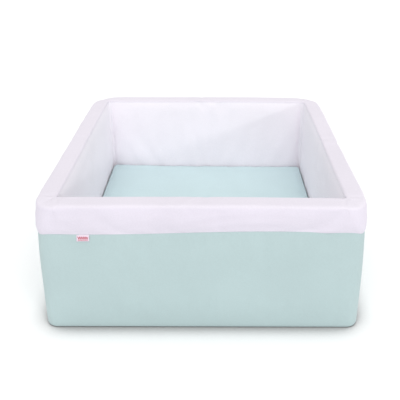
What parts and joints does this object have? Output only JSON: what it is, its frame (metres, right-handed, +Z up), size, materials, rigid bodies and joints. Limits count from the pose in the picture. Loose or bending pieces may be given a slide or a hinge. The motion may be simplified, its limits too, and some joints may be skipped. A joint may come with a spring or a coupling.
{
  "type": "playpen",
  "caption": "Square soft-sided playpen: a foam wall ring in a mint skirt and white rim sleeve, with a thick loose foam mat inside, and zipped jersey covers.",
  "frame": {"origin": "on the floor, at the middle of the footprint", "axes": "+Z up, +X to the right and -Y to the front, where the woven label hangs"},
  "size_m": [0.9, 0.9065, 0.396],
  "materials": {
    "foam": "matte",
    "white_jersey": "matte",
    "mint_jersey": "matte",
    "mat_jersey": "matte",
    "zip_tape": "matte",
    "zip_coil": "satin",
    "zip_metal": "satin",
    "woven_label": "satin"
  },
  "bodies": {
    "wall_ring": {"foam_front": "foam", "foam_right": "foam", "foam_back": "foam", "foam_left": "foam", "rim_sleeve_front": "white_jersey", "rim_sleeve_right": "white_jersey", "rim_sleeve_back": "white_jersey", "rim_sleeve_left": "white_jersey", "outer_skirt": "mint_jersey", "base_strip_front": "mint_jersey", "base_strip_right": "mint_jersey", "base_strip_back": "mint_jersey", "base_strip_left": "mint_jersey", "wall_zip_tape_upper": "zip_tape", "wall_zip_tape_lower": "zip_tape", "wall_zip_coil_upper": "zip_coil", "wall_zip_coil_lower": "zip_coil", "wall_zip_stop_left": "zip_metal", "wall_zip_stop_right": "zip_metal"},
    "wall_slider": {"wall_zip_slider": "zip_metal"},
    "wall_pull": {"wall_zip_pull": "zip_metal"},
    "mat": {"mat_foam": "foam", "mat_cover_top": "mat_jersey", "mat_border": "mat_jersey", "mat_cover_bottom": "mat_jersey", "mat_zip_tape_upper": "zip_tape", "mat_zip_tape_lower": "zip_tape", "mat_zip_coil_upper": "zip_coil", "mat_zip_coil_lower": "zip_coil", "mat_zip_stop_left": "zip_metal", "mat_zip_stop_right": "zip_metal"},
    "mat_slider": {"mat_zip_slider": "zip_metal"},
    "tag": {"woven_tag": "woven_label"}
  },
  "joints": [
    {"name": "mat_lift", "type": "slide", "parent": "wall_ring", "child": "mat", "axis": [0, 0, 1], "range_m": [0, 0.45]},
    {"name": "wall_zip_slide", "type": "slide", "parent": "wall_ring", "child": "wall_slider", "axis": [1, 0, 0], "range_m": [0, 0.774]},
    {"name": "wall_pull_flip", "type": "hinge", "parent": "wall_slider", "child": "wall_pull", "pos_m": [-0.3871, 0.45335, 0.024], "axis": [0, 0, 1], "range_deg": [0, 180]},
    {"name": "mat_zip_slide", "type": "slide", "parent": "mat", "child": "mat_slider", "axis": [1, 0, 0], "range_m": [0, 0.614]},
    {"name": "tag_flip", "type": "hinge", "parent": "wall_ring", "child": "tag", "pos_m": [-0.316, -0.451, 0.313], "axis": [-1, 0, 0], "range_deg": [0, 150]}
  ]
}
